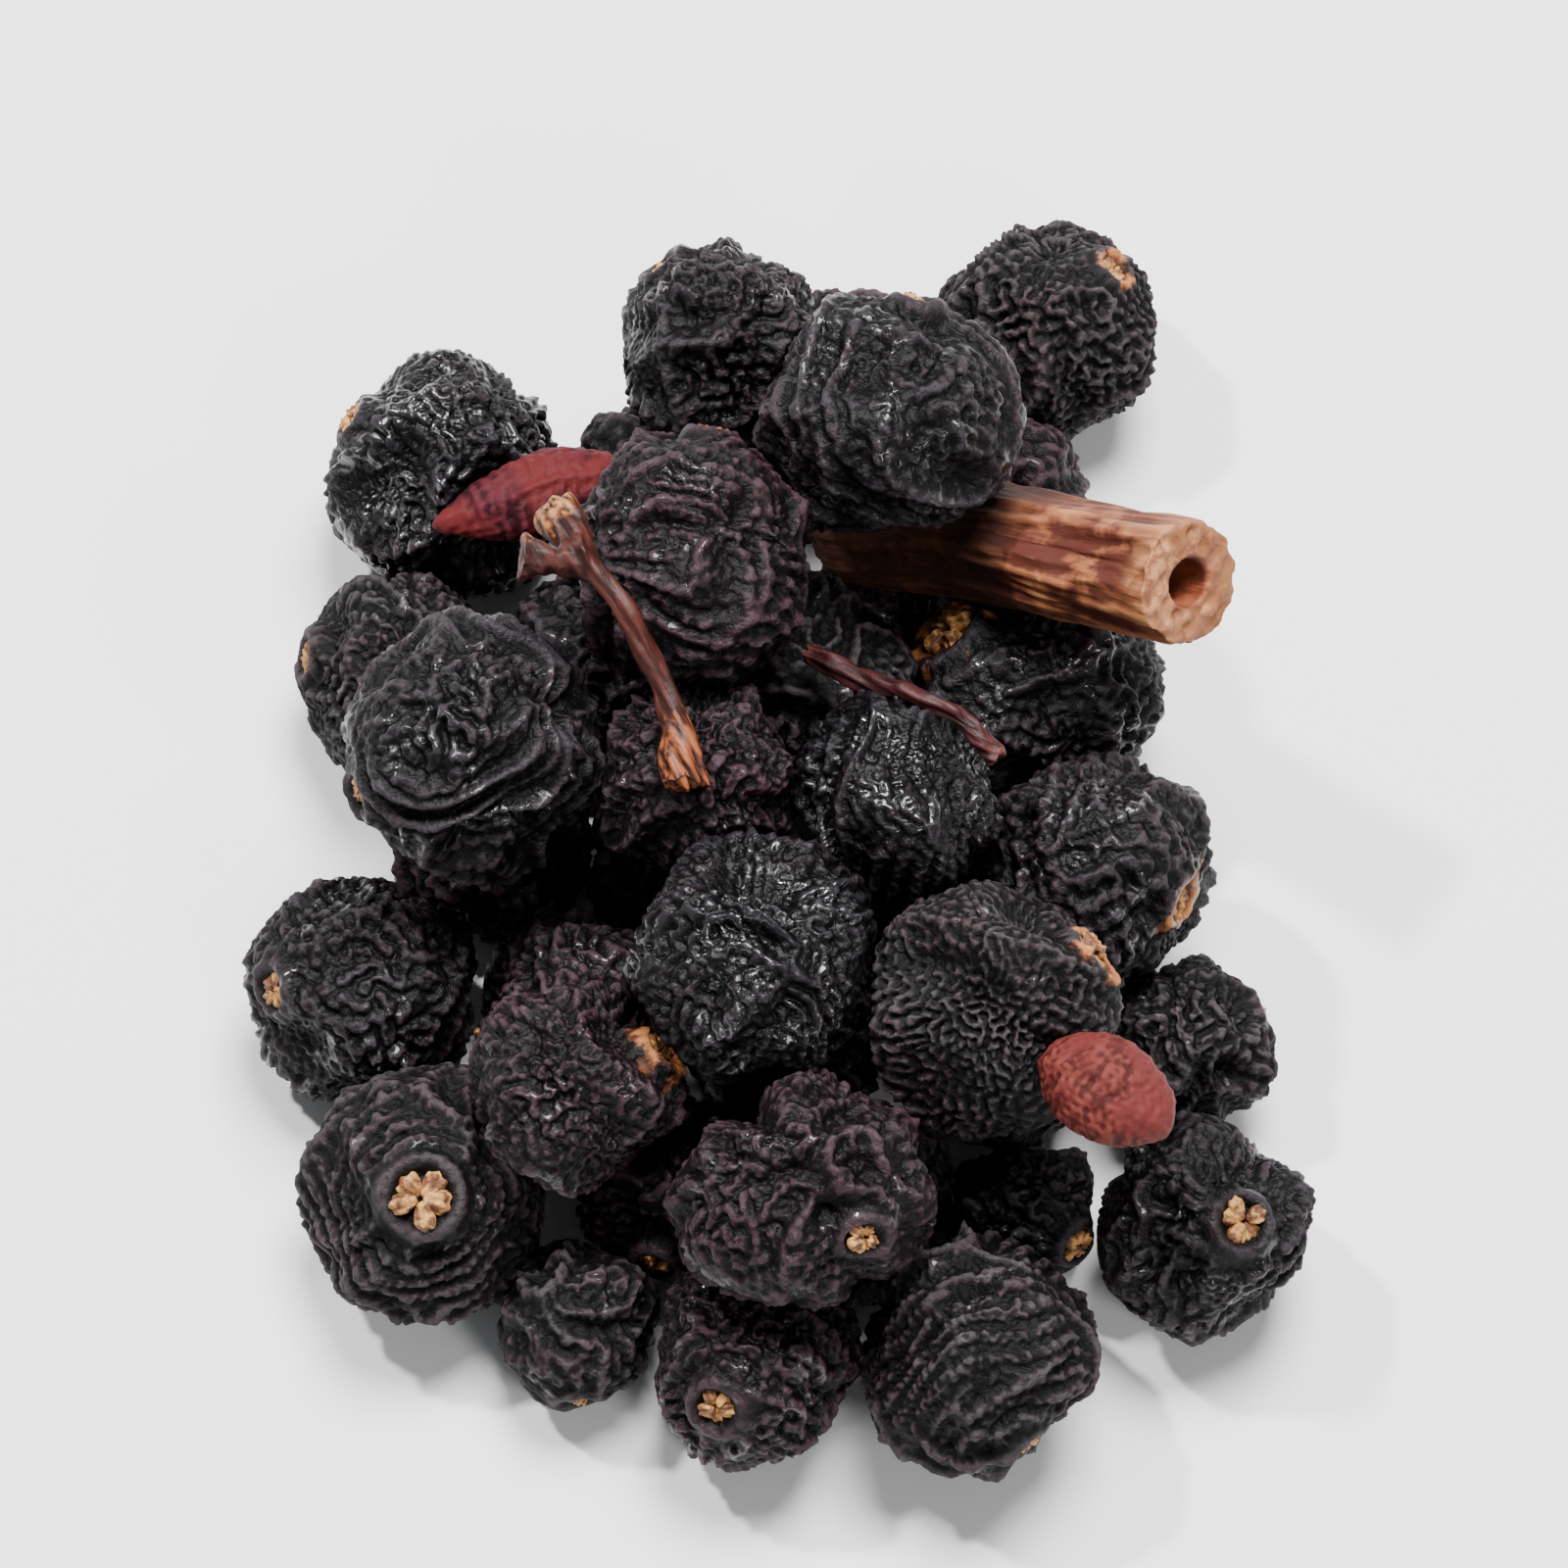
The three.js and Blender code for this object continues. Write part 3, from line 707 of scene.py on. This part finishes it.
def build_stalk():
    dice = np.random.default_rng(7)
    mesh, surface = fine_copy("stalk", 0.035, 14)
    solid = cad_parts["stalk"].data
    facing = [p for p in solid.polygons if np.array(p.normal) @ CUT_WAY > 0.97]
    axis = np.mean([np.array(p.normal) for p in facing], axis=0)
    axis /= np.linalg.norm(axis)
    centre = np.mean([np.array(p.center) for p in facing], axis=0) / MM
    below = (surface.points - centre) @ -axis
    below -= below.min()
    line = centre - axis * ((surface.points - centre) @ -axis)[:, None]
    out = np.linalg.norm(surface.points - line, axis=1)
    smoother = surface.smooth(surface.points, 40)
    keep = step(-below, -0.35, 0.05)[:, None]
    places = surface.points * keep + smoother * (1 - keep)
    across = long_axes(surface.points)
    grain = surface.points @ across.T * (FIBRE_STRETCH, 1, 1)
    fibres = waves(grain, 0.24, dice, 30) * 0.5 + waves(grain, 0.13, dice, 30) * 0.3
    grooves = -np.maximum(waves(grain, 0.75, dice) - 0.3, 0)
    side = 1 - abs(surface.normals @ axis)
    raised = (fibres * 0.03 + grooves * 0.07) * side + (1 - side) * waves(surface.points, 0.25, dice) * 0.02
    outside = step(out, HOLLOW_RADIUS, 0.02)
    raised *= outside + step(below, HOLLOW_DEPTH, 0.1) * (1 - outside)
    places = places + surface.normals * raised[:, None]
    stored = {
        "below": below,
        "out": out,
        "right": surface.points[:, 0] - centre[0],
        "grain": grain * MM,
        "relief": np.clip(raised / 0.03, -1, 1),
    }
    return finish_wood("stalk", mesh, places, stored, stalk_material())


def stalk_material():
    shader = Shader("stalk_bark", Roughness=0.62, Specular_IOR_Level=0.35)
    grain = shader.stored("grain", "Vector")
    streaks = shader.noise(0.2 * MM, grain, detail=4, twist=0.6)
    patches = shader.noise(0.5 * MM, detail=5, twist=0.9)
    relief = shader.stored("relief")
    dark, bark, worn = (0.07, 0.014, 0.008), (0.25, 0.085, 0.035), (0.4, 0.17, 0.07)
    colour = shader.blend((streaks * 0.5 + patches * 0.5 + relief * 0.06).ramp(0.4, 0.56), dark, bark)
    colour = shader.blend((patches * 0.6 + streaks * 0.4 + relief * 0.05).ramp(0.53, 0.66), colour, worn)
    below = shader.stored("below")
    pale = shader.blend(streaks.ramp(0.35, 0.6), (0.2, 0.068, 0.022), (0.42, 0.185, 0.078))
    # Painted shade: the pale wood to the right of the cut's centre is darkened towards brown.
    shaded = (shader.stored("right") + (patches - 0.5) * 0.9).ramp(-0.1, 0.4)
    pale = shader.blend(shaded * 0.75, pale, (0.2, 0.066, 0.022))
    near_cut = 1 - (below + (patches - 0.5) * 1.4 + (streaks - 0.5) * 0.8).ramp(-0.2, 0.5)
    colour = shader.blend(near_cut, colour, pale)
    # Painted shade: far from the cut, where the stalk runs down into the clump, it is darkened nearly to
    # black.
    shade_far_from_cut = (below + (patches - 0.5) * 1.5).ramp(2.5, 3.3) * 0.8  # below is in mm
    colour = shader.blend(shade_far_from_cut, colour, (0.018, 0.006, 0.004))
    out = shader.stored("out")
    inside = 1 - (out + (patches - 0.5) * 0.2).ramp(HOLLOW_RADIUS - 0.04, HOLLOW_RADIUS + 0.05)
    pith = inside * (1 - below.ramp(HOLLOW_DEPTH - 0.1, HOLLOW_DEPTH + 0.1))
    red_pith = shader.blend(patches.ramp(0.4, 0.6), (0.09, 0.019, 0.009), (0.22, 0.052, 0.022))
    colour = shader.blend(pith, colour, red_pith)
    shader.feed(Base_Color=colour)
    shader.feed(Normal=shader.bump(streaks + shader.noise(0.05 * MM, grain, detail=2) * 0.4, 0.035 * MM))
    return shader.material


print(f"stalk: faces {build_stalk()}")

# %% [markdown]
# ## Pedicels
# Pedicels are the thin stems of single berries. They dry to a dark red, shrink lengthwise into a few
# ridges, and tear at their ends, where the pale inside shows. The points store where they are along the
# piece, from -1 at its front end to 1 at its back end.

# %% Pedicels
def pedicel_material(name, middle, front_end, back_end, torn_from):
    shader = Shader(name, Roughness=0.5, Specular_IOR_Level=0.25)
    grain = shader.stored("grain", "Vector")
    streaks = shader.noise(0.09 * MM, grain, detail=3)
    specks = shader.noise(0.15 * MM, detail=3)
    dark = [0.3 * c for c in middle]
    red = shader.blend((streaks + shader.stored("relief") * 0.12).ramp(0.34, 0.66), dark, middle)
    along = shader.stored("along")
    torn = shader.blend(along.ramp(-0.3, 0.3), front_end, back_end)
    pale = shader.blend(streaks.ramp(0.36, 0.6), dark, torn)
    ends = (abs(along) + (specks - 0.5) * 0.5).ramp(torn_from, torn_from + 0.15)
    shader.feed(Base_Color=shader.blend(ends, red, pale))
    shader.feed(Normal=shader.bump(streaks + specks * 0.4, 0.025 * MM))
    return shader.material


def build_pedicel(node, number, material, fibre, ragged):
    dice = np.random.default_rng(number)
    mesh, surface = fine_copy(node, 0.024, 12)
    points = surface.points
    axes = long_axes(points)
    axes[0] *= np.sign(axes[0][1])  # towards the back of the clump
    local = (points - points.mean(axis=0)) @ axes.T
    along = local[:, 0] / abs(local[:, 0]).max()
    grain = local * (FIBRE_STRETCH * 1.5, 1, 1)
    fibres = waves(grain, fibre, dice, 30)
    knots = waves(points, 0.6, dice)
    torn = waves(points, 0.14, dice, 30) * step(abs(along), 0.93, 0.02)
    raised = fibres * 0.016 + knots * 0.012
    places = points + surface.normals * raised[:, None] + axes[0] * (torn * ragged * np.sign(along))[:, None]
    stored = {"along": along, "grain": grain * MM, "relief": np.clip(fibres / 2, -1, 1)}
    return finish_wood(node, mesh, places, stored, material)


DARK_RED, TAN, ORANGE_TAN = (0.06, 0.013, 0.009), (0.4, 0.16, 0.048), (0.26, 0.075, 0.024)
PURPLE_RED, DULL_RED = (0.045, 0.009, 0.01), (0.1, 0.025, 0.018)
forked = pedicel_material("forked_pedicel_skin", DARK_RED, ORANGE_TAN, TAN, 0.58)
broken = pedicel_material("broken_pedicel_skin", PURPLE_RED, DULL_RED, DULL_RED, 0.85)
print(f"forked pedicel: faces {build_pedicel('forked_pedicel', 11, forked, 0.2, 0.05)}")
print(f"broken pedicel: faces {build_pedicel('broken_pedicel', 12, broken, 0.12, 0.02)}")

# %% [markdown]
# ## Seeds
# A bare elderberry seed is a flattened egg with rows of fine ripples across it. The juice has dyed it red
# to purple.

# %% Seeds
def seed_material(name, dark, light, patch):
    shader = Shader(name, Roughness=0.62, Specular_IOR_Level=0.12)
    relief = shader.stored("relief")
    patches = shader.noise(0.8 * MM, detail=3)
    specks = shader.noise(0.09 * MM, detail=3)
    colour = shader.blend((relief * 0.5 + specks).ramp(0.2, 0.85), dark, light)
    colour = shader.blend(patches.ramp(0.42, 0.6), colour, patch)
    shader.feed(Base_Color=colour)
    shader.feed(Normal=shader.bump(specks, 0.02 * MM))
    return shader.material


def build_seed(node, number, material, ripple, height):
    dice = np.random.default_rng(number)
    mesh, surface = fine_copy(node, 0.026, 50)
    points = surface.points
    local = (points - points.mean(axis=0)) @ long_axes(points).T
    squeezed = local * (1, 0.22, 0.22)
    rows = waves(squeezed, ripple, dice, 24) * 0.6 + waves(local, ripple * 0.9, dice, 24) * 0.5
    keel = hump(local[:, 1] + 0.08 * waves(points, 1.5, dice), 0.1, 0.1)
    raised = rows * height + keel * 0.04 + waves(points, 1.1, dice) * 0.015
    places = points + surface.normals * raised[:, None]
    stored = {"relief": np.clip(rows / 1.5, -1, 1)}
    return finish_wood(node, mesh, places, stored, material)


# Each seed's colours: between its ripples, on them, and in patches.
PURPLE = ((0.018, 0.002, 0.004), (0.07, 0.009, 0.015), (0.085, 0.01, 0.011))
BRICK_RED = ((0.045, 0.007, 0.006), (0.13, 0.027, 0.021), (0.105, 0.018, 0.017))
purple_seed = seed_material("seed_purple_red", *PURPLE)
brick_seed = seed_material("seed_brick_red", *BRICK_RED)
print(f"seed: faces {build_seed('seed', 21, purple_seed, 0.16, 0.012)}")
print(f"short seed: faces {build_seed('short_seed', 22, brick_seed, 0.13, 0.01)}")

# %% [markdown]
# ## Sizes
# The fine pieces take the places of the solids, so they have to fill the same box, give or take a wrinkle.
# Both boxes are written down to be compared.

# %% Sizes
visual_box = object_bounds()
for side, axis_name in enumerate("xyz"):
    grown = [(visual_box[end][side] - solid_box[end][side]) / MM for end in (0, 1)]
    print(f"{axis_name}: low side moved {grown[0]:+.3f} mm, high side {grown[1]:+.3f} mm")
